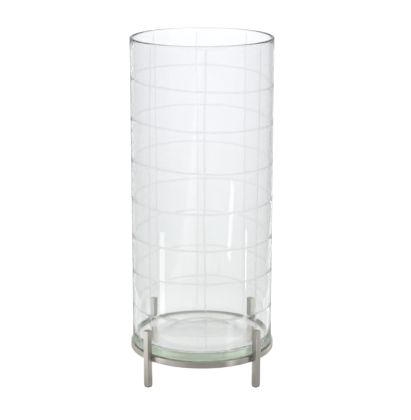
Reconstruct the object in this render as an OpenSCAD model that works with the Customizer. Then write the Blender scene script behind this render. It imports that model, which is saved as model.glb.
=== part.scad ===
// Candle lantern.
// A clear glass cylinder with a grid of hand-cut lines stands loose on a low
// welded stand of square steel bar: one ring that carries the glass, and four
// legs welded to the outside of the ring. The legs reach down as feet and up
// past the ring, so that they keep the glass from sliding off.
// Millimetres, +Z up, origin on the floor at the centre of the stand. -Y is the front.

/* [Glass] */
// Outside diameter of the glass cylinder
glass_d = 180; // [150:1:220]
// Height of the glass from its underside to its rim
glass_h = 395; // [300:5:450]
// Thickness of the glass wall
wall_t = 4; // [3:0.5:6]
// Thickness of the glass floor
floor_t = 10; // [8:0.5:14]
// Radius of the rounded outer heel of the glass
heel_r = 3; // [1:0.5:4]
// Radius of the fillet between floor and wall inside the glass
fillet_r = 5; // [2:0.5:8]
// Diameter of the shallow dish in the underside of the glass
dish_d = 108; // [80:1:120]
// Depth of that dish
dish_depth = 1.5; // [0.8:0.1:2.5]

/* [Cut lines] */
// Number of cut rings round the glass
cut_rows = 7; // [3:1:7]
// Number of upright cut lines
cut_columns = 8; // [4:1:8]
// Width of a cut line
cut_w = 3; // [1.6:0.1:3.2]
// Depth of a cut line
cut_depth = 0.3; // [0.2:0.05:0.6]
// Distance from the rim down to the first cut ring
first_cut = 52; // [40:1:60]
// Distance between cut rings where the hand does not wander
cut_pitch = 48.5; // [30:0.5:50]
// How far the hand wanders, where 0 is a perfect grid
wander = 1; // [0:0.1:1]

/* [Stand] */
// Width of the square bar
bar = 8; // [6:0.5:10]
// Radius on the long edges of the bar
bar_r = 0.6; // [0.3:0.1:1]
// Play between the glass and each leg
play = 2.5; // [1:0.25:4]
// Height of the underside of the ring above the floor
ring_z = 33; // [25:1:45]
// Height of the tops of the legs above the floor
leg_top = 75; // [60:1:95]
// Direction of the first leg, in degrees from the right-hand side
leg_turn = 45; // [0:5:90]
// Radius of a weld bead
weld_r = 2.4; // [1.6:0.2:2.4]

/* [Feet] */
// Thickness of the pad under each leg
pad_t = 1.5; // [1:0.25:3]
// How far the pad stays in from the edge of the bar
pad_inset = 0.3; // [0.1:0.1:0.8]

/* [Hidden] */
$fn = 96;
glass_r = glass_d / 2;
glass_z = ring_z + bar;            // underside of the glass, on top of the ring
ring_ro = glass_r + play;          // outside of the ring, and inner face of each leg
ring_rc = ring_ro - bar / 2;       // centre line of the ring
leg_rc = ring_ro + bar / 2;        // centre line of a leg
cut_r = (cut_w * cut_w / 4 + cut_depth * cut_depth) / (2 * cut_depth);
dish_r = (dish_d * dish_d / 4 + dish_depth * dish_depth) / (2 * dish_depth);
// Hand wander of each cut ring: rise in mm, slope to the right and slope to the back in degrees
row_wander = [[0, -2.3, 1.6], [-2, -1.6, 0.4], [-4, -1.5, 0.9], [-5, -0.3, 1.2],
              [-3, -0.9, 2], [0, 0.1, 0], [2, 0.3, 1.5]];
// Hand wander of each upright line: turn and lean in degrees
column_wander = [[0, 0], [3, 1.2], [2.5, 0.3], [2, 0.1], [2, 0.2], [-3, 0.6], [-3.5, -0.4], [-2, 0.8]];
column_first = 2.5;                // direction of the first upright line from the front
cut_top = glass_h - 4;             // ends of the upright lines above the underside of the glass
cut_foot = 14;

// ---- shapes that repeat ----

// Cross-section of the square bar with its long edges rounded
module bar_section(w, r) {
    square([w, w - 2 * r], center = true);
    square([w - 2 * r, w], center = true);
    for (x = [-1, 1], y = [-1, 1])
        translate([x * (w / 2 - r), y * (w / 2 - r)]) circle(r = r, $fn = 24);
}

// Half section of the glass: rounded rim, even wall, thick floor, dished underside
module glass_section() {
    translate([glass_r - wall_t, floor_t]) square([wall_t, glass_h - floor_t - wall_t / 2]);
    translate([glass_r - wall_t / 2, glass_h - wall_t / 2]) circle(r = wall_t / 2, $fn = 48);
    difference() {
        union() {
            square([glass_r - heel_r, floor_t]);
            translate([0, heel_r]) square([glass_r, floor_t - heel_r]);
            translate([glass_r - heel_r, heel_r]) circle(r = heel_r, $fn = 48);
        }
        translate([0, dish_depth - dish_r]) circle(r = dish_r, $fn = 2880);
    }
    difference() {
        translate([glass_r - wall_t - fillet_r, floor_t]) square([fillet_r, fillet_r]);
        translate([glass_r - wall_t - fillet_r, floor_t + fillet_r]) circle(r = fillet_r, $fn = 48);
    }
}

// One cut ring, tilted as the hand went round
module cut_ring(i) {
    w = row_wander[i] * wander;
    translate([0, 0, glass_h - first_cut - i * cut_pitch + w[0]])
        rotate([w[2], -w[1], 0])
            rotate_extrude($fn = 180)
                translate([glass_r + cut_r - cut_depth, 0]) circle(r = cut_r, $fn = 32);
}

// One upright cut line with round ends
module cut_line(i) {
    w = column_wander[i] * wander;
    mid = (cut_top + cut_foot) / 2;
    half = (cut_top - cut_foot) / 2 - cut_r;
    rotate([0, 0, column_first + i * 360 / cut_columns + w[0]])
        translate([0, -(glass_r + cut_r - cut_depth), mid])
            rotate([0, w[1], 0]) {
                cylinder(r = cut_r, h = 2 * half, center = true, $fn = 32);
                for (s = [-1, 1]) translate([0, 0, s * half]) sphere(r = cut_r, $fn = 32);
            }
}

// Places its children at leg number i, with +X pointing outwards
module at_leg(i) {
    rotate([0, 0, i * 90 + leg_turn - 90]) children();
}

module leg_bar(i) {
    at_leg(i) translate([leg_rc, 0, pad_t]) linear_extrude(leg_top - pad_t) bar_section(bar, bar_r);
}

module ring_bar() {
    translate([0, 0, ring_z + bar / 2])
        rotate_extrude($fn = 180) translate([ring_rc, 0]) bar_section(bar, bar_r);
}

module leg(i) {
    color([0.66, 0.64, 0.60]) leg_bar(i);
}

// Two upright weld beads in the corners between a leg and the ring
module weld(i) {
    color([0.58, 0.54, 0.50])
        difference() {
            at_leg(i)
                for (s = [-1, 1])
                    translate([ring_ro + 0.6, s * (bar / 2 + 0.4), ring_z + weld_r + 0.5]) {
                        cylinder(r = weld_r, h = bar - 2 * weld_r - 1, $fn = 32);
                        sphere(r = weld_r, $fn = 32);
                        translate([0, 0, bar - 2 * weld_r - 1]) sphere(r = weld_r, $fn = 32);
                    }
            ring_bar();
            leg_bar(i);
        }
}

module foot_pad(i) {
    color([0.52, 0.52, 0.51])
        at_leg(i) translate([leg_rc, 0, 0]) linear_extrude(pad_t) bar_section(bar - 2 * pad_inset, 1);
}

// ---- the pieces ----

module glass_cylinder() {
    color([0.86, 0.92, 0.90, 0.4])
        translate([0, 0, glass_z])
            difference() {
                rotate_extrude($fn = 180) glass_section();
                for (i = [0 : cut_rows - 1]) cut_ring(i);
                for (i = [0 : cut_columns - 1]) cut_line(i);
            }
}

module support_ring() {
    color([0.64, 0.62, 0.58]) ring_bar();
}

module leg_front_right() { leg(0); }
module leg_back_right() { leg(1); }
module leg_back_left() { leg(2); }
module leg_front_left() { leg(3); }
module weld_front_right() { weld(0); }
module weld_back_right() { weld(1); }
module weld_back_left() { weld(2); }
module weld_front_left() { weld(3); }
module foot_pad_front_right() { foot_pad(0); }
module foot_pad_back_right() { foot_pad(1); }
module foot_pad_back_left() { foot_pad(2); }
module foot_pad_front_left() { foot_pad(3); }

glass_cylinder();
support_ring();
leg_front_right();
leg_back_right();
leg_back_left();
leg_front_left();
weld_front_right();
weld_back_right();
weld_back_left();
weld_front_left();
foot_pad_front_right();
foot_pad_back_right();
foot_pad_back_left();
foot_pad_front_left();
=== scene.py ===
import math

import bmesh
import bpy
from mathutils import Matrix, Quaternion, Vector, noise


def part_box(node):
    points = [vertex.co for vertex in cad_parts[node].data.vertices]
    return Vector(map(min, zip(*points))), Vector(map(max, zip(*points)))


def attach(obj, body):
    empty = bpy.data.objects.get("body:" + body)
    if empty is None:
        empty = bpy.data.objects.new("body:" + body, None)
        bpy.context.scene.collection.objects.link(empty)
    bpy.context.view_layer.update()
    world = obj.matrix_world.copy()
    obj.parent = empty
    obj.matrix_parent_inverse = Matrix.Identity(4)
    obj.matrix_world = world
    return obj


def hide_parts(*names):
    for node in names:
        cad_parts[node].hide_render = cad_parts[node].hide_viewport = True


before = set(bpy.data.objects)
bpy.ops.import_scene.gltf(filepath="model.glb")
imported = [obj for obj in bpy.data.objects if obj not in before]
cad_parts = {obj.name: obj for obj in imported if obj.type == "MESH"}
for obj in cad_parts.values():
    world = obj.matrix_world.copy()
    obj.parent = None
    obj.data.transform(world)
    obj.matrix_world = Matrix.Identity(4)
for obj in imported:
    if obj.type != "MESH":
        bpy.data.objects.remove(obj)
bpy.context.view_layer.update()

MM = 0.001


# ------------------------------------------------------------------ helpers

def smooth(t):
    t = max(0.0, min(1.0, t))
    return t * t * (3 - 2 * t)


def link(obj):
    bpy.context.scene.collection.objects.link(obj)
    return obj


def mesh_object(name, verts, faces, mats, face_mats=None):
    me = bpy.data.meshes.new(name)
    me.from_pydata([tuple(v) for v in verts], [], faces)
    for m in mats:
        me.materials.append(m)
    for i, p in enumerate(me.polygons):
        p.use_smooth = True
        if face_mats:
            p.material_index = face_mats[i]
    me.validate()
    me.update()
    return link(bpy.data.objects.new(name, me))


def nodes_of(mat):
    nt = mat.node_tree
    return nt, nt.nodes, nt.links, nt.nodes["Principled BSDF"]


def new_mat(name):
    m = bpy.data.materials.new(name)
    m.use_nodes = True
    return m


def add(nt, kind, **props):
    n = nt.nodes.new(kind)
    for k, v in props.items():
        if k in n.inputs and not hasattr(n, k):
            n.inputs[k].default_value = v
        else:
            setattr(n, k, v)
    return n


def set_in(n, **vals):
    for k, v in vals.items():
        n.inputs[k.replace("_", " ")].default_value = v


def ramp(nt, stops):
    r = nt.nodes.new("ShaderNodeValToRGB")
    el = r.color_ramp.elements
    while len(el) > 1:
        el.remove(el[-1])
    el[0].position, el[0].color = stops[0][0], (*stops[0][1], 1)
    for pos, col in stops[1:]:
        e = el.new(pos)
        e.color = (*col, 1)
    return r


def grey(v):
    return (v, v, v)


# ---------------------------------------------------------------- materials

def metal_material(name, tone, axis, rough=(0.24, 0.40), scratch=1.0):
    """Satin nickel brushed along the bar. axis is "z" for an upright bar and "round" for the ring."""
    m = new_mat(name)
    nt, n, l, bsdf = nodes_of(m)
    tc = add(nt, "ShaderNodeTexCoord")
    if axis == "round":
        sep = add(nt, "ShaderNodeSeparateXYZ")
        l.new(tc.outputs["Object"], sep.inputs[0])
        ang = add(nt, "ShaderNodeMath", operation="ARCTAN2")
        l.new(sep.outputs["Y"], ang.inputs[0])
        l.new(sep.outputs["X"], ang.inputs[1])
        arc = add(nt, "ShaderNodeMath", operation="MULTIPLY")
        l.new(ang.outputs[0], arc.inputs[0])
        arc.inputs[1].default_value = 0.0885
        ln = add(nt, "ShaderNodeVectorMath", operation="LENGTH")
        flat = add(nt, "ShaderNodeCombineXYZ")
        l.new(sep.outputs["X"], flat.inputs[0])
        l.new(sep.outputs["Y"], flat.inputs[1])
        l.new(flat.outputs[0], ln.inputs[0])
        co = add(nt, "ShaderNodeCombineXYZ")
        l.new(ln.outputs["Value"], co.inputs[0])
        l.new(sep.outputs["Z"], co.inputs[1])
        l.new(arc.outputs[0], co.inputs[2])
        coord = co.outputs[0]
    else:
        coord = tc.outputs["Object"]
    # long fine brush lines: dense across the bar, drawn out along it
    mp = add(nt, "ShaderNodeMapping")
    mp.inputs["Scale"].default_value = (1.0, 1.0, 0.022)
    l.new(coord, mp.inputs["Vector"])
    grain = add(nt, "ShaderNodeTexNoise")
    set_in(grain, Scale=5200.0, Detail=3.0, Roughness=0.62)
    l.new(mp.outputs[0], grain.inputs["Vector"])
    band = add(nt, "ShaderNodeTexNoise")
    set_in(band, Scale=1150.0, Detail=2.0, Roughness=0.5)
    l.new(mp.outputs[0], band.inputs["Vector"])
    cloud = add(nt, "ShaderNodeTexNoise")
    set_in(cloud, Scale=42.0, Detail=3.0, Roughness=0.55)
    l.new(coord, cloud.inputs["Vector"])
    # colour: nickel with warm and cool drift, lighter worn edges
    c1 = ramp(nt, [(0.30, tuple(t * 0.90 for t in tone)), (0.70, tuple(min(1, t * 1.08) for t in tone))])
    l.new(cloud.outputs["Fac"], c1.inputs["Fac"])
    c2 = ramp(nt, [(0.25, (0.86, 0.86, 0.87)), (0.75, (1.0, 1.0, 1.0))])
    l.new(grain.outputs["Fac"], c2.inputs["Fac"])
    mul = add(nt, "ShaderNodeMix", data_type="RGBA", blend_type="MULTIPLY")
    mul.inputs[0].default_value = 1.0
    l.new(c1.outputs[0], mul.inputs[6])
    l.new(c2.outputs[0], mul.inputs[7])
    geo = add(nt, "ShaderNodeNewGeometry")
    edge = ramp(nt, [(0.50, grey(0.0)), (0.62, grey(1.0))])
    l.new(geo.outputs["Pointiness"], edge.inputs["Fac"])
    wear = add(nt, "ShaderNodeMix", data_type="RGBA", blend_type="MIX")
    l.new(edge.outputs[0], wear.inputs[0])
    l.new(mul.outputs[2], wear.inputs[6])
    wear.inputs[7].default_value = (*(min(1.0, t * 1.22) for t in tone), 1)
    if axis == "round":
        # painted light: the inside face of the hoop is made paler, standing in for the light it reflects from the table
        # under the glass
        inner = ramp(nt, [(0.0, grey(1.0)), (1.0, grey(0.0))])
        span = add(nt, "ShaderNodeMapRange")
        span.inputs["From Min"].default_value, span.inputs["From Max"].default_value = 0.0848, 0.0858
        l.new(ln.outputs["Value"], span.inputs["Value"])
        l.new(span.outputs[0], inner.inputs["Fac"])
        inner_painted_light = add(nt, "ShaderNodeMix", data_type="RGBA", blend_type="MIX")
        l.new(inner.outputs[0], inner_painted_light.inputs[0])
        l.new(wear.outputs[2], inner_painted_light.inputs[6])
        inner_painted_light.inputs[7].default_value = (0.93, 0.92, 0.90, 1)
        l.new(inner_painted_light.outputs[2], bsdf.inputs["Base Color"])
    else:
        l.new(wear.outputs[2], bsdf.inputs["Base Color"])
    # roughness follows the grain and the smears
    rr = add(nt, "ShaderNodeMapRange")
    rr.inputs["To Min"].default_value, rr.inputs["To Max"].default_value = rough
    mixr = add(nt, "ShaderNodeMath", operation="MULTIPLY_ADD")
    l.new(grain.outputs["Fac"], mixr.inputs[0])
    mixr.inputs[1].default_value = 0.6
    half = add(nt, "ShaderNodeMath", operation="MULTIPLY")
    l.new(cloud.outputs["Fac"], half.inputs[0])
    half.inputs[1].default_value = 0.4
    l.new(half.outputs[0], mixr.inputs[2])
    rr.inputs["From Min"].default_value, rr.inputs["From Max"].default_value = 0.3, 0.7
    l.new(mixr.outputs[0], rr.inputs["Value"])
    l.new(rr.outputs[0], bsdf.inputs["Roughness"])
    # relief: brush lines over broad unevenness of hot-rolled bar
    b1 = add(nt, "ShaderNodeBump")
    set_in(b1, Strength=0.35 * scratch, Distance=0.00006)
    l.new(grain.outputs["Fac"], b1.inputs["Height"])
    b2 = add(nt, "ShaderNodeBump")
    set_in(b2, Strength=0.30 * scratch, Distance=0.00025)
    l.new(band.outputs["Fac"], b2.inputs["Height"])
    l.new(b1.outputs[0], b2.inputs["Normal"])
    b3 = add(nt, "ShaderNodeBump")
    set_in(b3, Strength=0.25, Distance=0.0006)
    l.new(cloud.outputs["Fac"], b3.inputs["Height"])
    l.new(b2.outputs[0], b3.inputs["Normal"])
    l.new(b3.outputs[0], bsdf.inputs["Normal"])
    set_in(bsdf, Metallic=1.0)
    # the brush lines spread a highlight across themselves
    tan = add(nt, "ShaderNodeTangent")
    tan.direction_type, tan.axis = "RADIAL", "Z"
    l.new(tan.outputs[0], bsdf.inputs["Tangent"])
    bsdf.inputs["Anisotropic"].default_value = 0.75
    bsdf.inputs["Anisotropic Rotation"].default_value = 0.25 if axis == "round" else 0.0
    return m


def weld_material():
    m = new_mat("weld_metal")
    nt, n, l, bsdf = nodes_of(m)
    tc = add(nt, "ShaderNodeTexCoord")
    blot = add(nt, "ShaderNodeTexNoise")
    set_in(blot, Scale=420.0, Detail=4.0, Roughness=0.6)
    l.new(tc.outputs["Object"], blot.inputs["Vector"])
    col = ramp(nt, [(0.30, (0.10, 0.08, 0.065)), (0.50, (0.36, 0.32, 0.275)), (0.72, (0.62, 0.585, 0.53))])
    l.new(blot.outputs["Fac"], col.inputs["Fac"])
    l.new(col.outputs[0], bsdf.inputs["Base Color"])
    rr = add(nt, "ShaderNodeMapRange")
    rr.inputs["To Min"].default_value, rr.inputs["To Max"].default_value = 0.30, 0.55
    l.new(blot.outputs["Fac"], rr.inputs["Value"])
    l.new(rr.outputs[0], bsdf.inputs["Roughness"])
    mp = add(nt, "ShaderNodeMapping")
    mp.inputs["Scale"].default_value = (0.35, 0.35, 1.0)
    l.new(tc.outputs["Object"], mp.inputs["Vector"])
    rip = add(nt, "ShaderNodeTexNoise")
    set_in(rip, Scale=1500.0, Detail=2.0)
    l.new(mp.outputs[0], rip.inputs["Vector"])
    b = add(nt, "ShaderNodeBump")
    set_in(b, Strength=0.5, Distance=0.0002)
    l.new(rip.outputs["Fac"], b.inputs["Height"])
    l.new(b.outputs[0], bsdf.inputs["Normal"])
    set_in(bsdf, Metallic=1.0)
    return m


def pad_material():
    m = new_mat("grey_pad")
    nt, n, l, bsdf = nodes_of(m)
    tc = add(nt, "ShaderNodeTexCoord")
    fine = add(nt, "ShaderNodeTexNoise")
    set_in(fine, Scale=2600.0, Detail=3.0)
    l.new(tc.outputs["Object"], fine.inputs["Vector"])
    col = ramp(nt, [(0.3, (0.17, 0.17, 0.168)), (0.7, (0.27, 0.27, 0.265))])
    l.new(fine.outputs["Fac"], col.inputs["Fac"])
    l.new(col.outputs[0], bsdf.inputs["Base Color"])
    b = add(nt, "ShaderNodeBump")
    set_in(b, Strength=0.4, Distance=0.00012)
    l.new(fine.outputs["Fac"], b.inputs["Height"])
    l.new(b.outputs[0], bsdf.inputs["Normal"])
    rr = add(nt, "ShaderNodeMapRange")
    rr.inputs["To Min"].default_value, rr.inputs["To Max"].default_value = 0.62, 0.85
    l.new(fine.outputs["Fac"], rr.inputs["Value"])
    l.new(rr.outputs[0], bsdf.inputs["Roughness"])
    return m


GLASS_TINT = (0.880, 0.896, 0.900, 1)
GREEN = (0.55, 0.72, 0.50, 1)
GREEN_DENSITY = 5.6


def absorb(nt):
    v = add(nt, "ShaderNodeVolumeAbsorption")
    v.inputs["Color"].default_value = GREEN
    v.inputs["Density"].default_value = GREEN_DENSITY
    nt.links.new(v.outputs[0], nt.nodes["Material Output"].inputs["Volume"])


def slant_painted_shade(nt, colour):
    """Painted shade: the wall's colour is darkened where it is seen at a slant, giving the glass darker edges."""
    lw = add(nt, "ShaderNodeLayerWeight")
    lw.inputs["Blend"].default_value = 0.5
    mr = add(nt, "ShaderNodeMapRange")
    mr.inputs["To Min"].default_value, mr.inputs["To Max"].default_value = 1.0, 1.0 - SLANT_SHADE
    nt.links.new(lw.outputs["Facing"], mr.inputs["Value"])
    mix = add(nt, "ShaderNodeMix", data_type="RGBA", blend_type="MULTIPLY")
    mix.inputs[0].default_value = 1.0
    nt.links.new(colour, mix.inputs[6])
    nt.links.new(mr.outputs[0], mix.inputs[7])
    return mix.outputs[2]


# strength of the painted shade on the wall where it is seen at a slant
SLANT_SHADE = 0.15
HAZE = 0.04
FOOT_ROUGH = 0.10
RIM_ROUGH = 0.30
CUT_ROUGH = (0.14, 0.30)
CUT_TONE = (0.82, 0.82, 0.83)


def glass_material():
    m = new_mat("clear_glass")
    nt, n, l, bsdf = nodes_of(m)
    set_in(bsdf, IOR=1.5)
    bsdf.inputs["Transmission Weight"].default_value = 1.0 - HAZE
    tc = add(nt, "ShaderNodeTexCoord")
    # drawn-glass ripple: long upright waves
    mp = add(nt, "ShaderNodeMapping")
    mp.inputs["Scale"].default_value = (1.0, 1.0, 0.16)
    l.new(tc.outputs["Object"], mp.inputs["Vector"])
    wave = add(nt, "ShaderNodeTexNoise")
    set_in(wave, Scale=36.0, Detail=1.5, Roughness=0.4)
    l.new(mp.outputs[0], wave.inputs["Vector"])
    b = add(nt, "ShaderNodeBump")
    set_in(b, Strength=0.20, Distance=0.00012)
    l.new(wave.outputs["Fac"], b.inputs["Height"])
    l.new(b.outputs[0], bsdf.inputs["Normal"])
    # faint film of handling, a little rougher in patches
    film = add(nt, "ShaderNodeTexNoise")
    set_in(film, Scale=17.0, Detail=5.0, Roughness=0.6)
    l.new(tc.outputs["Object"], film.inputs["Vector"])
    rr = add(nt, "ShaderNodeMapRange")
    rr.inputs["From Min"].default_value, rr.inputs["From Max"].default_value = 0.45, 0.8
    rr.inputs["To Min"].default_value, rr.inputs["To Max"].default_value = 0.0, 0.03
    l.new(film.outputs["Fac"], rr.inputs["Value"])
    # the wheel leaves the floor of each cut line satin; "cut" on the mesh is 1 there
    line = add(nt, "ShaderNodeAttribute", attribute_name="cut")
    fine = add(nt, "ShaderNodeTexNoise")
    set_in(fine, Scale=3800.0, Detail=3.0, Roughness=0.65)
    l.new(tc.outputs["Object"], fine.inputs["Vector"])
    satin = add(nt, "ShaderNodeMapRange")
    satin.inputs["From Min"].default_value, satin.inputs["From Max"].default_value = 0.35, 0.65
    satin.inputs["To Min"].default_value, satin.inputs["To Max"].default_value = CUT_ROUGH
    l.new(fine.outputs["Fac"], satin.inputs["Value"])
    both = add(nt, "ShaderNodeMix", data_type="FLOAT")
    l.new(line.outputs["Fac"], both.inputs[0])
    l.new(rr.outputs[0], both.inputs[2])
    l.new(satin.outputs[0], both.inputs[3])
    # the foot is ground flat, so it is a little matt underneath
    sep = add(nt, "ShaderNodeSeparateXYZ")
    l.new(tc.outputs["Object"], sep.inputs[0])
    foot = add(nt, "ShaderNodeMapRange")
    foot.inputs["From Min"].default_value, foot.inputs["From Max"].default_value = 0.0445, 0.0425
    foot.inputs["To Min"].default_value, foot.inputs["To Max"].default_value = 0.0, FOOT_ROUGH
    l.new(sep.outputs["Z"], foot.inputs["Value"])
    most = add(nt, "ShaderNodeMath", operation="MAXIMUM")
    l.new(both.outputs[0], most.inputs[0])
    l.new(foot.outputs[0], most.inputs[1])
    # and the rim keeps a trace of its grinding
    lip = add(nt, "ShaderNodeMapRange")
    lip.inputs["From Min"].default_value, lip.inputs["From Max"].default_value = 0.4336, 0.4348
    lip.inputs["To Min"].default_value, lip.inputs["To Max"].default_value = 0.0, RIM_ROUGH
    l.new(sep.outputs["Z"], lip.inputs["Value"])
    last = add(nt, "ShaderNodeMath", operation="MAXIMUM")
    l.new(most.outputs[0], last.inputs[0])
    l.new(lip.outputs[0], last.inputs[1])
    l.new(last.outputs[0], bsdf.inputs["Roughness"])
    # glass colour set by height: lighter in the foot, darkest about 94 to 139 mm up, lighter and a little blue towards
    # the rim; these changes are painted shade and painted light for the table seen through the glass
    up = add(nt, "ShaderNodeMapRange")
    up.inputs["From Min"].default_value, up.inputs["From Max"].default_value = 0.04, 0.34
    l.new(sep.outputs["Z"], up.inputs["Value"])
    tint_with_painted_shade = ramp(nt, [(0.0, (0.965, 0.970, 0.968)), (0.08, (0.960, 0.965, 0.964)), (0.18, (0.924, 0.929, 0.931)),
                     (0.33, (0.922, 0.928, 0.930)), (1.0, (0.962, 0.964, 0.982))])
    l.new(up.outputs[0], tint_with_painted_shade.inputs["Fac"])
    dust = ramp(nt, [(0.3, CUT_TONE), (0.7, tuple(min(1.0, c + 0.05) for c in CUT_TONE))])
    l.new(fine.outputs["Fac"], dust.inputs["Fac"])
    dim = add(nt, "ShaderNodeMix", data_type="RGBA", blend_type="MULTIPLY")
    l.new(line.outputs["Fac"], dim.inputs[0])
    l.new(tint_with_painted_shade.outputs[0], dim.inputs[6])
    l.new(dust.outputs[0], dim.inputs[7])
    # painted shade at the slanted edges of the wall goes into the base colour
    l.new(slant_painted_shade(nt, dim.outputs[2]), bsdf.inputs["Base Color"])
    absorb(nt)
    return m


# -------------------------------------------------------------- the glass

GLASS_LO, GLASS_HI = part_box("glass_cylinder")
Z0 = GLASS_LO.z                       # underside of the glass
H = (GLASS_HI.z - GLASS_LO.z) / MM    # height in mm
R = GLASS_HI.x / MM                   # outside radius in mm
WALL, FLOOR, HEEL, FILLET = 4.0, 10.0, 3.0, 5.0
DISH_R, DISH_D = 54.0, 1.5
CUT_W, CUT_D = 3.0, 0.12

# upright lines: azimuth from the front in degrees (positive to the right), then how
# the hand drifted, in degrees, at 5 heights from the foot to the rim
COLUMNS = [
    (2.5, (0.9, 0.0, -0.7, -0.5, 0.3)),
    (50.0, (-1.6, -1.8, -0.9, 0.6, 1.6)),
    (95.0, (-0.4, 0.3, 0.2, -0.2, 0.5)),
    (139.3, (0.0, -0.3, -0.1, 0.2, 0.1)),
    (184.3, (0.3, -0.2, -0.4, 0.0, 0.5)),
    (224.4, (-0.6, -0.4, -0.3, 0.2, 1.0)),
    (269.0, (0.4, 0.2, -0.3, 0.3, 0.0)),
    (315.0, (-0.2, -1.2, -1.3, 0.0, 1.4)),
]
# cut rings, from the top: height on the axis above the floor in mm, rise per mm to the
# right and to the back, and two slow waves (size in mm, phase in degrees)
RINGS = [
    (383.8, -0.044, 0.034, 1.1, 300, 0.5, 40),
    (333.6, -0.027, 0.008, 0.8, 290, 0.4, 160),
    (283.0, -0.026, 0.020, 0.7, 310, 0.5, 250),
    (233.4, -0.004, 0.022, 0.9, 200, 0.5, 80),
    (186.6, -0.016, 0.034, 1.2, 20, 0.4, 200),
    (141.2, 0.002, 0.004, 1.1, 0, 0.4, 310),
    (95.4, 0.004, 0.030, 1.3, 0, 0.5, 120),
]


def column_shift(i, z):
    """Drift of upright line i in degrees at height z (mm above the floor)."""
    drift = COLUMNS[i][1]
    t = max(0.0, min(0.9999, (z - 45) / (436 - 45))) * 4
    k = int(t)
    f = smooth(t - k)
    wob = 0.16 * math.sin(z / 19.0 + i * 1.7) + 0.09 * math.sin(z / 7.3 + i * 2.9)
    return drift[k] * (1 - f) + drift[k + 1] * f + wob


def ring_height(j, az):
    z, sx, sy, a2, p2, a3, p3 = RINGS[j]
    r = math.radians(az)
    x, y = R * math.sin(r), -R * math.cos(r)
    return (z + sx * x + sy * y + a2 * math.cos(2 * r - math.radians(p2))
            + a3 * math.cos(3 * r - math.radians(p3)) + 0.22 * math.sin(9 * r + j))


PROFILE = [-1.05, -0.985, -0.8, -0.55, -0.27, 0.0, 0.27, 0.55, 0.8, 0.985, 1.05]
CR = (CUT_W ** 2 / 4 + CUT_D ** 2) / (2 * CUT_D)


def cut_depth(t):
    """Depth of a cut in mm at t, -1 to 1 across it."""
    if abs(t) >= 1:
        return 0.0
    x = t * CUT_W / 2
    return max(0.0, math.sqrt(CR * CR - x * x) - (CR - CUT_D))


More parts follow.
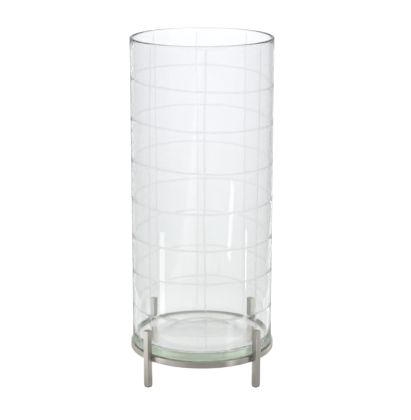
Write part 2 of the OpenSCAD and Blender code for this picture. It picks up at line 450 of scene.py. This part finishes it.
def build_glass(clear):
    # columns of vertices: (column index or None, t across it, base azimuth, blend weights)
    us = []
    ncol = len(COLUMNS)
    for i, (az, _) in enumerate(COLUMNS):
        for t in PROFILE:
            us.append((i, t, None))
        nxt = COLUMNS[(i + 1) % ncol][0] + (360 if i == ncol - 1 else 0)
        half = math.degrees(CUT_W / 2 / R) * 1.05
        gap = nxt - az - 2 * half
        steps = max(4, round(gap / 1.55))
        for k in range(1, steps):
            us.append((i, None, k / steps))
    U = len(us)

    def azimuth(u, z):
        i, t, f = us[u]
        a = COLUMNS[i][0] + column_shift(i, z)
        half = math.degrees(CUT_W / 2 / R)
        if t is not None:
            return a + t * half
        k = (i + 1) % ncol
        b = COLUMNS[k][0] + (360 if i == ncol - 1 else 0) + column_shift(k, z)
        lo, hi = a + 1.05 * half, b - 1.05 * half
        return lo + (hi - lo) * f

    top, foot = Z0 / MM + H, Z0 / MM
    # rows of the outer wall: (ring index or None, t across it, fraction to the next)
    zs_top = top - WALL / 2
    zs_foot = foot + HEEL
    rows = []
    for j in range(len(RINGS) + 1):
        steps = 12
        for k in range(0 if j == 0 else 1, steps):
            rows.append((j, None, k / steps))
        if j < len(RINGS):
            for t in PROFILE:
                rows.append((j, -t, None))
    rows.append((len(RINGS), None, 1.0))

    def row_z(row, az):
        j, t, f = row
        if t is not None:
            return ring_height(j, az) + t * CUT_W / 2
        hi = zs_top if j == 0 else ring_height(j - 1, az) - 1.05 * CUT_W / 2
        lo = zs_foot if j == len(RINGS) else ring_height(j, az) + 1.05 * CUT_W / 2
        return hi + (lo - hi) * f

    def uneven(az, z):
        """Slow unevenness of the blown wall, in mm."""
        r = math.radians(az)
        p = Vector((math.cos(r) * 1.7, math.sin(r) * 1.7, z / 260.0))
        return 0.10 * noise.noise(p) + 0.018 * noise.noise(p * 3.1 + Vector((7, 3, 1)))

    verts, rings_of_verts, kinds, marks = [], [], [], []

    line_top, line_foot = top - 4.0, foot + 14.0

    def across(t):
        return 1.0 - smooth((abs(t) - 0.5) / 0.45)

    def cut_mark(u, kind, z):
        """1 on the floor of a cut line, 0 on the plain wall."""
        if not isinstance(kind, tuple):
            return 0.0
        fade = smooth((line_top - z) / 3.0) * smooth((z - line_foot) / 5.0)
        m = across(us[u][1]) * fade if us[u][1] is not None else 0.0
        if kind[1] is not None:
            m = max(m, across(kind[1]))
        return m

    def add_row(fn, kind):
        idx = []
        for u in range(U):
            idx.append(len(verts))
            verts.append(fn(u))
            marks.append(cut_mark(u, kind, verts[-1].z / MM))
        rings_of_verts.append(idx)
        kinds.append(kind)

    def polar(az, r, z):
        a = math.radians(az)
        return Vector((r * math.sin(a) * MM, -r * math.cos(a) * MM, z * MM))

    # underside, from the centre outwards: dish, flat foot, heel
    dish_c = (DISH_R ** 2 + DISH_D ** 2) / (2 * DISH_D)
    z_foot_az = foot + HEEL
    for r in (2.0, 8.0, 16.0, 26.0, 36.0, 45.0, 50.5, 53.2):
        z = foot + DISH_D - dish_c + math.sqrt(dish_c ** 2 - r ** 2)
        add_row(lambda u, r=r, z=z: polar(azimuth(u, z_foot_az), r, z), "under")
    for r, z in ((54.0, 0.012), (54.8, 0.0), (62.0, 0.0), (72.0, 0.0), (81.0, 0.0), (R - HEEL, 0.0)):
        add_row(lambda u, r=r, z=z: polar(azimuth(u, z_foot_az), r, foot + z), "under")
    for k in range(1, 8):
        a = math.radians(90 * k / 8)
        r, z = R - HEEL + HEEL * math.sin(a), foot + HEEL - HEEL * math.cos(a)
        add_row(lambda u, r=r, z=z: polar(azimuth(u, z), r, z), "heel")
    # outer wall, from the foot up
    for row in reversed(rows):
        def at(u, row=row):
            # the azimuth hardly changes with height, so one pass settles both
            az = azimuth(u, 240)
            for _ in range(2):
                z = row_z(row, az)
                az = azimuth(u, z)
            i, tu, f = us[u]
            fade = smooth((line_top - z) / 3.0) * smooth((z - line_foot) / 5.0)
            hand = 0.86 + 0.22 * noise.noise(Vector((az * 0.11, z * 0.035, 3.0)))
            du = cut_depth(tu) * fade if tu is not None else 0.0
            dv = cut_depth(row[1]) if row[1] is not None else 0.0
            depth = max(du, dv) * min(1.0, hand)
            ease = smooth((z - zs_foot) / 12.0) * smooth((zs_top - z) / 12.0)
            return polar(az, R - 0.02 - depth - (0.09 - uneven(az, z)) * ease, z)
        add_row(at, row)
    # rim, rounded by the flame
    zt = top - WALL / 2
    for k in range(1, 12):
        a = math.pi * k / 12
        r, z = R - WALL / 2 + WALL / 2 * math.cos(a), zt + WALL / 2 * math.sin(a)
        add_row(lambda u, r=r, z=z: polar(azimuth(u, zs_top), r, z), "rim")
    # inner wall, down
    z_in = foot + FLOOR + FILLET
    for k in range(0, 31):
        z = zt + (z_in - zt) * k / 30

        def inner(u, z=z):
            az = azimuth(u, zs_top)
            ease = smooth((z - z_in) / 14.0) * smooth((zt - z) / 14.0)
            p = uneven(az + 71.0, z * 0.83 + 400)
            return polar(az, R - WALL - 0.12 * ease + 0.6 * p * ease, z)
        add_row(inner, "inner")
    for k in range(1, 9):
        a = math.radians(90 * k / 8)
        r = R - WALL - FILLET + FILLET * math.cos(a)
        z = foot + FLOOR + FILLET - FILLET * math.sin(a)
        add_row(lambda u, r=r, z=z: polar(azimuth(u, zs_top), r, z), "fillet")
    # floor, a shade higher in the middle where the gather was pressed
    for r in (76.0, 70.0, 63.0, 56.5, 54.5, 52.5, 50.0, 42.0, 32.0, 20.0, 9.0, 2.0):
        def bed(u, r=r):
            az = azimuth(u, zs_top)
            a = math.radians(az)
            n = noise.noise(Vector((r * math.cos(a) / 34.0, r * math.sin(a) / 34.0, 9.0)))
            swell = -0.16 * smooth((58 - r) / 9.0) + 0.05 * math.exp(-((r - 57.0) / 3.0) ** 2)
            return polar(az, r, foot + FLOOR - 0.28 + swell + 0.16 * n * smooth(r / 12) * smooth((80 - r) / 6))
        add_row(bed, "floor")

    faces = []
    for a in range(len(rings_of_verts) - 1):
        ra, rb = rings_of_verts[a], rings_of_verts[a + 1]
        for u in range(U):
            v = (u + 1) % U
            faces.append((ra[u], ra[v], rb[v], rb[u]))
    # close the two centres
    for ring, flip in ((rings_of_verts[0], False), (rings_of_verts[-1], True)):
        c = len(verts)
        z = sum(verts[i].z for i in ring) / U
        verts.append(Vector((0, 0, z)))
        marks.append(0.0)
        for u in range(U):
            v = (u + 1) % U
            faces.append((c, ring[v], ring[u]) if not flip else (c, ring[u], ring[v]))
    obj = mesh_object("glass_cylinder_cut", verts, faces, [clear])
    obj.data.attributes.new("cut", "FLOAT", "POINT").data.foreach_set("value", marks)
    bm = bmesh.new()
    bm.from_mesh(obj.data)
    bmesh.ops.recalc_face_normals(bm, faces=bm.faces)
    bm.to_mesh(obj.data)
    bm.free()
    return obj


# --------------------------------------------------------------- the stand

BAR = 8.0
BAR_R = 0.6


def bar_outline(w=BAR, r=BAR_R, per=5, side=5):
    """Points of the rounded square section, in mm, anticlockwise."""
    pts = []
    h = w / 2 - r
    for q, (sx, sy) in enumerate(((1, 1), (-1, 1), (-1, -1), (1, -1))):
        for k in range(per + 1):
            a = math.radians(90 * q + 90 * k / per)
            pts.append((sx * h + r * math.cos(a), sy * h + r * math.sin(a)))
        nsx, nsy = ((1, 1), (-1, 1), (-1, -1), (1, -1))[(q + 1) % 4]
        a = math.radians(90 * (q + 1))
        x0, y0 = sx * h + r * math.cos(a), sy * h + r * math.sin(a)
        x1, y1 = nsx * h + r * math.cos(a), nsy * h + r * math.sin(a)
        for k in range(1, side):
            f = k / side
            pts.append((x0 + (x1 - x0) * f, y0 + (y1 - y0) * f))
    return pts


def loft(name, sections, mat, closed=False, caps=True):
    n = len(sections[0])
    verts = [p for s in sections for p in s]
    faces = []
    m = len(sections)
    for a in range(m if closed else m - 1):
        b = (a + 1) % m
        for k in range(n):
            j = (k + 1) % n
            faces.append((a * n + k, a * n + j, b * n + j, b * n + k))
    if caps and not closed:
        for s in (0, m - 1):
            ring = [s * n + k for k in range(n)]
            c = Vector((0, 0, 0))
            for i in ring:
                c += verts[i]
            c /= n
            inner = []
            for i in ring:
                inner.append(len(verts))
                verts.append(c + (verts[i] - c) * 0.55)
            ci = len(verts)
            verts.append(c)
            for k in range(n):
                j = (k + 1) % n
                q = (ring[k], ring[j], inner[j], inner[k])
                t = (inner[k], inner[j], ci)
                faces.append(q if s else q[::-1])
                faces.append(t if s else t[::-1])
    obj = mesh_object(name, verts, faces, [mat])
    bm = bmesh.new()
    bm.from_mesh(obj.data)
    bmesh.ops.recalc_face_normals(bm, faces=bm.faces)
    bm.to_mesh(obj.data)
    bm.free()
    return obj


def build_leg(name, node, az, mat, seed):
    """az in degrees from +X."""
    lo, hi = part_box(node)
    z0, z1 = lo.z / MM, hi.z / MM
    rc = 96.5
    ca, sa = math.cos(math.radians(az)), math.sin(math.radians(az))
    out = bar_outline()
    sections = []
    levels = [(z0, 0.62), (z0 + 0.12, 0.30), (z0 + 0.35, 0.10), (z0 + 0.7, 0.0)]
    n = 26
    levels += [(z0 + 1.5 + (z1 - z0 - 2.6) * k / n, 0.0) for k in range(n + 1)]
    levels += [(z1 - 0.6, 0.0), (z1 - 0.3, 0.07), (z1 - 0.1, 0.24), (z1, 0.52)]
    for z, inset in levels:
        ring = []
        for x, y in out:
            f = Vector((x, y))
            ln = max(abs(x), abs(y))
            s = (BAR / 2 - inset) / (BAR / 2)
            p = noise.noise(Vector((x * 0.35 + seed * 5, y * 0.35, z * 0.05)))
            q = noise.noise(Vector((x * 0.9, y * 0.9 + seed * 3, z * 0.30)))
            w = -0.035 + 0.03 * p + 0.012 * q
            k = s + w / ln
            X, Y = rc + x * k, y * k
            ring.append(Vector((X * ca - Y * sa, X * sa + Y * ca, z)) * MM)
        sections.append(ring)
    o = loft(name, sections, mat)
    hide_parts(node)
    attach(o, "stand")
    return o


def build_ring(mat):
    lo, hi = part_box("support_ring")
    ro = hi.x / MM
    rc, zc = ro - BAR / 2, (lo.z + hi.z) / 2 / MM
    out = bar_outline(side=4)
    sections = []
    n = 288
    for k in range(n):
        a = 2 * math.pi * k / n
        c, s = math.cos(a), math.sin(a)
        ring = []
        for x, y in out:
            p = noise.noise(Vector((c * 2.6 + x * 0.05, s * 2.6, y * 0.12)))
            q = noise.noise(Vector((c * 11, s * 11 + x * 0.2, y * 0.3 + 5)))
            ln = max(abs(x), abs(y))
            f = 1 + (-0.04 + 0.03 * p + 0.012 * q) / ln
            r, z = rc + x * f, zc + y * f - 0.012
            ring.append(Vector((r * c, r * s, z)) * MM)
        sections.append(ring)
    o = loft("support_ring_bar", sections, mat, closed=True)
    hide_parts("support_ring")
    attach(o, "stand")
    return o


def build_weld(name, node, az, mat, seed):
    """Two run-in beads, each a row of overlapping ripples in the corner between leg and ring."""
    lo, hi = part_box(node)
    z0, z1 = lo.z / MM, hi.z / MM
    ca, sa = math.cos(math.radians(az)), math.sin(math.radians(az))
    bm = bmesh.new()
    for side in (-1, 1):
        cx, cy = 92.5 + 0.6, side * (BAR / 2 + 0.4)
        segs, rows = 28, 34
        rings = []
        for j in range(rows + 1):
            f = j / rows
            z = z0 + 0.1 + (z1 - z0 - 0.2) * f
            end = math.sqrt(max(0.0, 1 - abs(2 * f - 1) ** 4.0))
            ripple = 0.10 * abs(math.sin(f * math.pi * 5.0 + seed + side))
            ring = []
            for k in range(segs):
                a = 2 * math.pi * k / segs
                lump = 0.22 * noise.noise(Vector((math.cos(a) * 0.9 + seed * 4, math.sin(a) * 0.9 + side * 2, f * 3.0)))
                r = (2.28 - ripple + lump * 0.8 - 0.05) * end
                X, Y = cx + r * math.cos(a), cy + r * math.sin(a)
                ring.append(bm.verts.new(Vector((X * ca - Y * sa, X * sa + Y * ca, z)) * MM))
            rings.append(ring)
        for j in range(rows):
            for k in range(segs):
                q = (k + 1) % segs
                bm.faces.new((rings[j][k], rings[j][q], rings[j + 1][q], rings[j + 1][k]))
        bm.faces.new(rings[0][::-1])
        bm.faces.new(rings[-1])
    bmesh.ops.remove_doubles(bm, verts=bm.verts, dist=1e-7)
    bmesh.ops.recalc_face_normals(bm, faces=bm.faces)
    me = bpy.data.meshes.new(name)
    bm.to_mesh(me)
    bm.free()
    me.materials.append(mat)
    for p in me.polygons:
        p.use_smooth = True
    o = link(bpy.data.objects.new(name, me))
    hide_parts(node)
    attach(o, "stand")
    return o


def build_pad(name, node, az, mat, seed):
    lo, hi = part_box(node)
    z0, z1 = lo.z / MM, hi.z / MM
    ca, sa = math.cos(math.radians(az)), math.sin(math.radians(az))
    out = bar_outline(w=BAR - 0.6, r=1.0)
    sections = []
    t = z1 - z0
    for f, inset in ((0, 0.35), (0.06, 0.16), (0.16, 0.05), (0.35, 0.0), (0.6, 0.0), (0.85, 0.06), (0.95, 0.14), (1.0, 0.3)):
        ring = []
        for x, y in out:
            ln = max(abs(x), abs(y))
            k = 1 - (inset + 0.02) / ln
            ring.append(Vector(((96.5 + x * k) * ca - y * k * sa, (96.5 + x * k) * sa + y * k * ca, z0 + t * f)) * MM)
        sections.append(ring)
    o = loft(name, sections, mat)
    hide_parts(node)
    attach(o, "stand")
    return o


# ------------------------------------------------------------------ build

TONE = (0.65, 0.615, 0.555)
steel_bar = metal_material("satin_steel_bar", TONE, "z")
steel_ring = metal_material("satin_steel_ring", TONE, "round")
weld_m = weld_material()
pad_m = pad_material()
clear = glass_material()

glass = build_glass(clear)
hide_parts("glass_cylinder")
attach(glass, "glass")

build_ring(steel_ring)
PLACES = {"front_right": -45, "back_right": 45, "back_left": 135, "front_left": 225}
for s, (place, az) in enumerate(PLACES.items()):
    build_leg("bar_leg_" + place, "leg_" + place, az, steel_bar, s + 1)
    build_weld("bead_" + place, "weld_" + place, az, weld_m, s + 1)
    build_pad("pad_" + place, "foot_pad_" + place, az, pad_m, s + 1)


# ------------------------------------------------------------------ studio

def floor_material():
    """White light table: plain and lit a little from below, so it shows hardly any shadow."""
    m = new_mat("studio_floor")
    nt, n, l, bsdf = nodes_of(m)
    tc = add(nt, "ShaderNodeTexCoord")
    no = add(nt, "ShaderNodeTexNoise")
    set_in(no, Scale=3.0, Detail=3.0)
    l.new(tc.outputs["Object"], no.inputs["Vector"])
    col = ramp(nt, [(0.3, (0.34, 0.34, 0.342)), (0.7, (0.36, 0.36, 0.36))])
    l.new(no.outputs["Fac"], col.inputs["Fac"])
    l.new(col.outputs[0], bsdf.inputs["Base Color"])
    set_in(bsdf, Roughness=0.9)
    bsdf.inputs["Specular IOR Level"].default_value = 0.2
    bsdf.inputs["Emission Color"].default_value = (1.0, 1.0, 1.0, 1)
    bsdf.inputs["Emission Strength"].default_value = FLOOR_GLOW
    return m


FLOOR_GLOW = 0.86
WORLD = 0.55
REFLECTED, POOL_PAINTED_LIGHT = 0.36, 1.6
bpy.ops.mesh.primitive_circle_add(vertices=128, radius=14.0, fill_type="NGON", location=(0, 0, 0))
floor = bpy.context.object
floor.name = "studio_floor"
floor.data.materials.append(floor_material())
floor.visible_glossy = False

# reflections see a greyer copy of the table with painted light on it: a bright pool under the stand, a brighter stretch
# to the front left and a lighter side to the right
bpy.ops.mesh.primitive_circle_add(vertices=128, radius=14.0, fill_type="NGON", location=(0, 0, 0.0002))
mirror_floor = bpy.context.object
mirror_floor.name = "studio_floor_reflected"
m = new_mat("studio_floor_reflected")
nt, _, l, bsdf = nodes_of(m)
bsdf.inputs["Base Color"].default_value = (0.20, 0.20, 0.20, 1)
set_in(bsdf, Roughness=0.9)
tc = add(nt, "ShaderNodeTexCoord")
sep = add(nt, "ShaderNodeSeparateXYZ")
l.new(tc.outputs["Object"], sep.inputs[0])
# painted light: a brighter stretch of table to the front left, seen only in reflections, gives the left leg its
# highlight
left = add(nt, "ShaderNodeMapRange")
left.inputs["From Min"].default_value, left.inputs["From Max"].default_value = -0.09, -0.34
left.inputs["To Min"].default_value, left.inputs["To Max"].default_value = 0.12, 1.15
l.new(sep.outputs["X"], left.inputs["Value"])
end = add(nt, "ShaderNodeMapRange")
end.inputs["From Min"].default_value, end.inputs["From Max"].default_value = -0.46, -0.38
l.new(sep.outputs["X"], end.inputs["Value"])
start = add(nt, "ShaderNodeMapRange")
start.inputs["From Min"].default_value, start.inputs["From Max"].default_value = -0.06, -0.09
l.new(sep.outputs["X"], start.inputs["Value"])
deep = add(nt, "ShaderNodeMapRange")
deep.inputs["From Min"].default_value, deep.inputs["From Max"].default_value = 0.03, -0.03
l.new(sep.outputs["Y"], deep.inputs["Value"])
for other in (end, start, deep):
    cut_off = add(nt, "ShaderNodeMath", operation="MULTIPLY")
    l.new(left.outputs[0], cut_off.inputs[0])
    l.new(other.outputs[0], cut_off.inputs[1])
    left = cut_off
# painted light: the table grows lighter to the right in reflections
right = add(nt, "ShaderNodeMapRange")
right.inputs["From Min"].default_value, right.inputs["From Max"].default_value = 0.10, 0.36
right.inputs["To Min"].default_value, right.inputs["To Max"].default_value = REFLECTED, REFLECTED + 0.22
l.new(sep.outputs["X"], right.inputs["Value"])
open_floor = add(nt, "ShaderNodeMath", operation="ADD")
l.new(left.outputs[0], open_floor.inputs[0])
l.new(right.outputs[0], open_floor.inputs[1])
# painted pool of light under the stand, seen only in reflections, for the pale inside face of the ring
far = add(nt, "ShaderNodeVectorMath", operation="DISTANCE")
far.inputs[1].default_value = (0.0, 0.03, 0.0)
l.new(tc.outputs["Object"], far.inputs[0])
painted_pool_mask = add(nt, "ShaderNodeMapRange")
painted_pool_mask.inputs["From Min"].default_value, painted_pool_mask.inputs["From Max"].default_value = 0.075, 0.095
l.new(far.outputs["Value"], painted_pool_mask.inputs["Value"])
glow = add(nt, "ShaderNodeMix", data_type="FLOAT")
glow.inputs[2].default_value = POOL_PAINTED_LIGHT
l.new(painted_pool_mask.outputs[0], glow.inputs[0])
l.new(open_floor.outputs[0], glow.inputs[3])
l.new(glow.outputs[0], bsdf.inputs["Emission Strength"])
bsdf.inputs["Emission Color"].default_value = (1.0, 1.0, 1.0, 1)
mirror_floor.data.materials.append(m)
mirror_floor.visible_camera = mirror_floor.visible_diffuse = False
mirror_floor.visible_transmission = mirror_floor.visible_shadow = False

world = bpy.data.worlds.new("studio")
bpy.context.scene.world = world
world.use_nodes = True
bg = world.node_tree.nodes["Background"]
bg.inputs["Color"].default_value = (0.98, 0.99, 1.0, 1)
bg.inputs["Strength"].default_value = WORLD


def flag(name, loc, target, size, shade, through=False):
    """Plain dark card out of shot, seen only by reflections, or only through the glass."""
    me = bpy.data.meshes.new(name)
    w, h = size[0] / 2, size[1] / 2
    me.from_pydata([(-w, -h, 0), (w, -h, 0), (w, h, 0), (-w, h, 0)], [], [(0, 1, 2, 3)])
    m = new_mat(name)
    bsdf = nodes_of(m)[3]
    bsdf.inputs["Base Color"].default_value = (shade, shade, shade, 1)
    set_in(bsdf, Roughness=1.0)
    me.materials.append(m)
    o = link(bpy.data.objects.new(name, me))
    o.location = loc
    o.rotation_euler = (Vector(target) - Vector(loc)).to_track_quat("-Z", "Y").to_euler()
    o.visible_camera = o.visible_diffuse = o.visible_shadow = False
    o.visible_transmission, o.visible_glossy = through, not through
    return o


def glow_patch(name, loc, turn, size, strength):
    """Lit patch of the table that only reflections see."""
    me = bpy.data.meshes.new(name)
    w, h = size[0] / 2, size[1] / 2
    me.from_pydata([(-w, -h, 0), (w, -h, 0), (w, h, 0), (-w, h, 0)], [], [(0, 1, 2, 3)])
    m = new_mat(name)
    nt, _, l, bsdf = nodes_of(m)
    tc = add(nt, "ShaderNodeTexCoord")
    soft = add(nt, "ShaderNodeTexGradient", gradient_type="SPHERICAL")
    mp = add(nt, "ShaderNodeMapping")
    mp.inputs["Scale"].default_value = (1 / w, 1 / h, 1.0)
    l.new(tc.outputs["Object"], mp.inputs["Vector"])
    l.new(mp.outputs[0], soft.inputs["Vector"])
    k = add(nt, "ShaderNodeMapRange")
    k.inputs["From Max"].default_value = 0.6
    k.inputs["To Max"].default_value = strength
    l.new(soft.outputs["Fac"], k.inputs["Value"])
    bsdf.inputs["Base Color"].default_value = (0.2, 0.2, 0.2, 1)
    set_in(bsdf, Roughness=1.0)
    bsdf.inputs["Emission Color"].default_value = (1.0, 1.0, 1.0, 1)
    l.new(k.outputs[0], bsdf.inputs["Emission Strength"])
    me.materials.append(m)
    o = link(bpy.data.objects.new(name, me))
    o.location = loc
    o.rotation_euler = (0, 0, math.radians(turn))
    o.visible_camera = o.visible_diffuse = o.visible_transmission = o.visible_shadow = False
    return o


def area(name, loc, target, size, radiance, colour=(1, 1, 1), seen=False, lean=0.0, everywhere=False):
    li = bpy.data.lights.new(name, "AREA")
    li.shape = "RECTANGLE"
    li.size, li.size_y = size
    li.energy = radiance * math.pi * size[0] * size[1]
    li.color = colour
    o = link(bpy.data.objects.new(name, li))
    o.location = loc
    q = (Vector(target) - Vector(loc)).to_track_quat("-Z", "Y")
    o.rotation_euler = (q @ Quaternion((0, 0, 1), math.radians(lean))).to_euler()
    o.visible_camera = seen
    o.visible_transmission = o.visible_diffuse = everywhere
    return o


area("overhead", (0.0, 0.6, 3.0), (0.0, 0.3, 0.0), (3.0, 3.0), 0.5, everywhere=True)
area("strip_left", (-0.312, -0.181, 0.064), (0.0, 0.0, 0.064), (0.050, 0.125), 2.9)
area("strip_right", (0.351, -0.145, 0.078), (0.0, 0.0, 0.078), (0.016, 0.09), 5.0)
area("strip_mid", (0.291, -0.323, 0.127), (0.037, -0.082, 0.127), (0.044, 0.124), 2.8, lean=-19.0)
area("back_card", (0.0, 3.0, 0.84), (0.0, 0.0, 0.05), (3.0, 0.5), 0.64, everywhere=True)
area("card_left", (-0.20, 0.075, 0.030), (0.0, 0.075, 0.030), (0.10, 0.06), 0.85)
area("card_right", (0.20, 0.075, 0.030), (0.0, 0.075, 0.030), (0.10, 0.06), 0.85)
glow_patch("patch_ring", (0.175, -0.214, 0.0006), 47.0, (0.075, 0.27), 2.0)
flag("flag_front", (0.0, -3.0, 1.2), (0.0, 0.0, 1.2), (4.4, 2.4), 0.03)
flag("flag_right", (0.42, 0.45, 0.36), (0.0, 0.45, 0.36), (1.3, 0.70), 0.86, through=True)

cam_data = bpy.data.cameras.new("camera")
cam = link(bpy.data.objects.new("camera", cam_data))
cam.location = (0.0, -1.762847, 0.672228)
cam.rotation_euler = (math.radians(90 - 14.58), 0, 0)
cam_data.sensor_width = 36.0
cam_data.sensor_fit = "AUTO"
cam_data.lens = 36.0 * 1424.994 / 420.0
cam_data.shift_x = 3.5 / 420.0
cam_data.clip_start, cam_data.clip_end = 0.05, 60.0
bpy.context.scene.camera = cam
# light runs many times up and down inside the thick base before it comes out
bpy.context.scene.cycles.max_bounces = 32
bpy.context.scene.cycles.glossy_bounces = 16
bpy.context.scene.cycles.transmission_bounces = 32
bpy.context.scene.view_settings.view_transform = "Standard"
